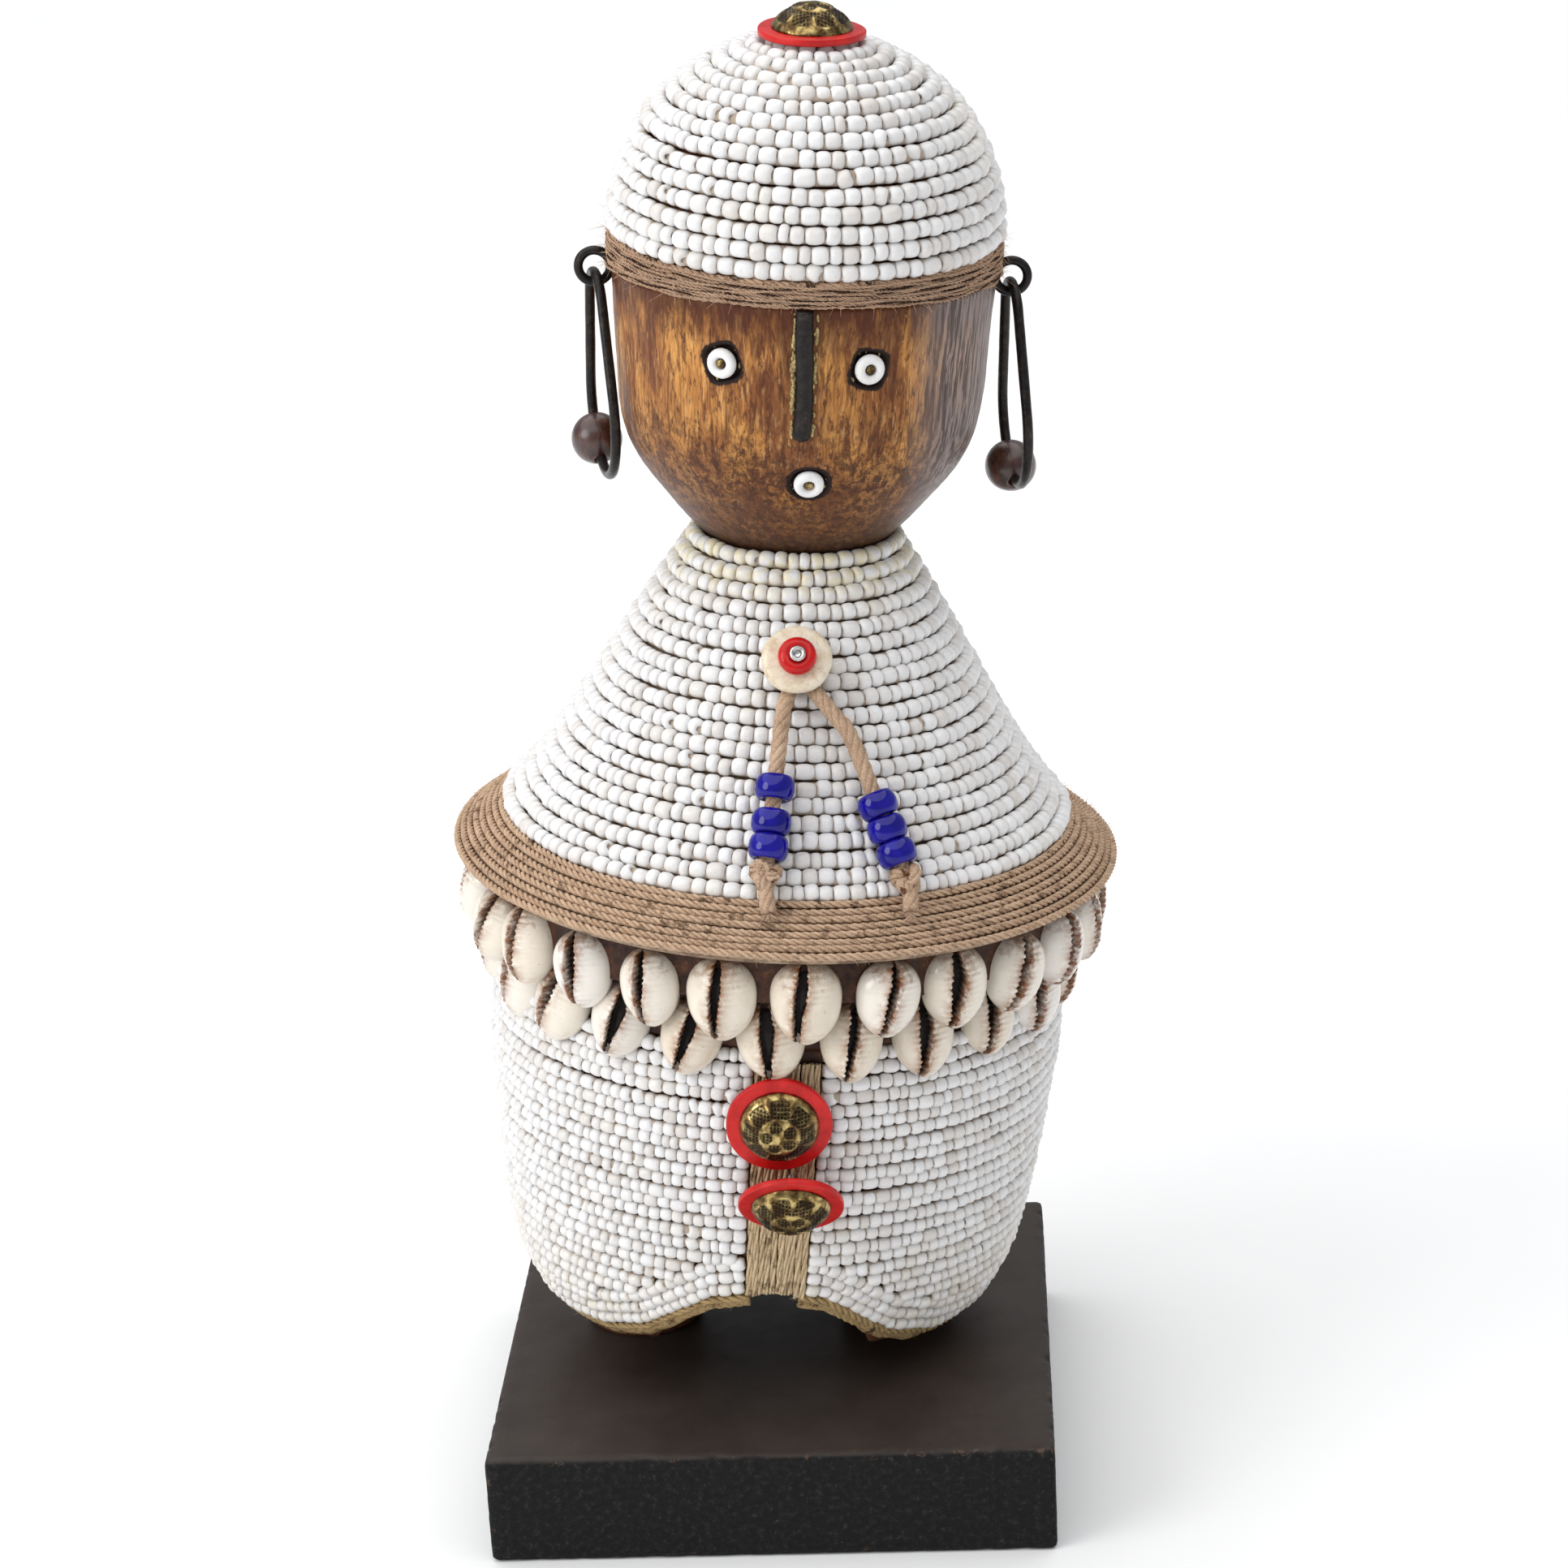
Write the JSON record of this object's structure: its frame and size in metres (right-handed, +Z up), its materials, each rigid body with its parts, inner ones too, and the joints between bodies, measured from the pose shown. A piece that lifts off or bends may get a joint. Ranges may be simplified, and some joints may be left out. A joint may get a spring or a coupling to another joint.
{
  "type": "fertility doll",
  "caption": "Beaded carved fertility doll with cap, cape, cowrie fringe, swinging hoop earrings and tasselled pendant, on a square display block.",
  "frame": {"origin": "centre of the block's underside, on the surface it stands on", "axes": "+Z up, -Y is the doll's front, +X is on the right of a person facing the doll; the doll leans 4.5 degrees towards +X on its level block"},
  "size_m": [0.134, 0.1344, 0.3015],
  "materials": {
    "block_paint": "satin black paint on a fibreboard block",
    "carved_wood": "stained and waxed hardwood, worn",
    "dark_wood": "dark polished wood",
    "white_glass": "opaque glossy glass",
    "blue_glass": "opaque glossy glass",
    "red_glass": "opaque glossy glass",
    "red_plastic": "moulded, glossy",
    "antique_brass": "antiqued, blackened in the hollows",
    "dark_iron": "blackened wire, worn",
    "bright_steel": "bright",
    "jute": "twisted natural fibre, stained",
    "dark_hide": "dark, glued",
    "bone": "polished bone",
    "cowrie_shell": "natural gloss"
  },
  "bodies": {
    "root": {"display_block": "block_paint", "mounting_pins": "bright_steel", "carved_figure": "carved_wood", "nose_bar": "dark_iron", "eye_bead_left": "white_glass", "eye_bead_right": "white_glass", "mouth_bead": "white_glass", "face_pins": "antique_brass", "cap_bead_rows": "white_glass", "cap_rim_cords": "jute", "crown_washer": "red_plastic", "crown_button": "antique_brass", "crown_nail": "bright_steel", "earring_eye_left": "dark_iron", "earring_eye_right": "dark_iron", "cape_form": "dark_hide", "cape_bead_rows": "white_glass", "cape_brim_cords": "jute", "pendant_disc": "bone", "pendant_ring_bead": "red_glass", "pendant_pin": "bright_steel", "tassel_cord_left": "jute", "tassel_cord_right": "jute", "tassel_knot_left": "jute", "tassel_knot_right": "jute", "cowrie_band": "dark_hide", "cowries_upper": "cowrie_shell", "cowries_lower": "cowrie_shell", "trunk_beads_left": "white_glass", "trunk_beads_right": "white_glass", "front_cord_band": "jute", "leg_hem_left": "jute", "leg_hem_right": "jute", "upper_washer": "red_plastic", "upper_button": "antique_brass", "upper_nail": "bright_steel", "lower_washer": "red_plastic", "lower_button": "antique_brass", "lower_nail": "bright_steel"},
    "left_earring": {"earring_hoop_left": "dark_iron", "earring_ball_left": "dark_wood"},
    "right_earring": {"earring_hoop_right": "dark_iron", "earring_ball_right": "dark_wood"},
    "left_tassel_beads": {"tassel_beads_left": "blue_glass"},
    "right_tassel_beads": {"tassel_beads_right": "blue_glass"}
  },
  "joints": [
    {"name": "left_earring_swing", "type": "hinge", "parent": "root", "child": "left_earring", "pos_m": [-0.02461, -0.00212, 0.25123], "axis": [-0.2588, 0.9659, 0], "range_deg": [-1.5, 75]},
    {"name": "right_earring_swing", "type": "hinge", "parent": "root", "child": "right_earring", "pos_m": [0.05575, 0.0021, 0.2451], "axis": [0.1736, -0.9848, 0], "range_deg": [-10, 75]},
    {"name": "left_beads_slide", "type": "slide", "parent": "root", "child": "left_tassel_beads", "axis": [0.1239, 0.5384, 0.8335], "range_m": [0, 0.007]},
    {"name": "right_beads_slide", "type": "slide", "parent": "root", "child": "right_tassel_beads", "axis": [-0.3371, 0.3963, 0.854], "range_m": [0, 0.006]}
  ]
}
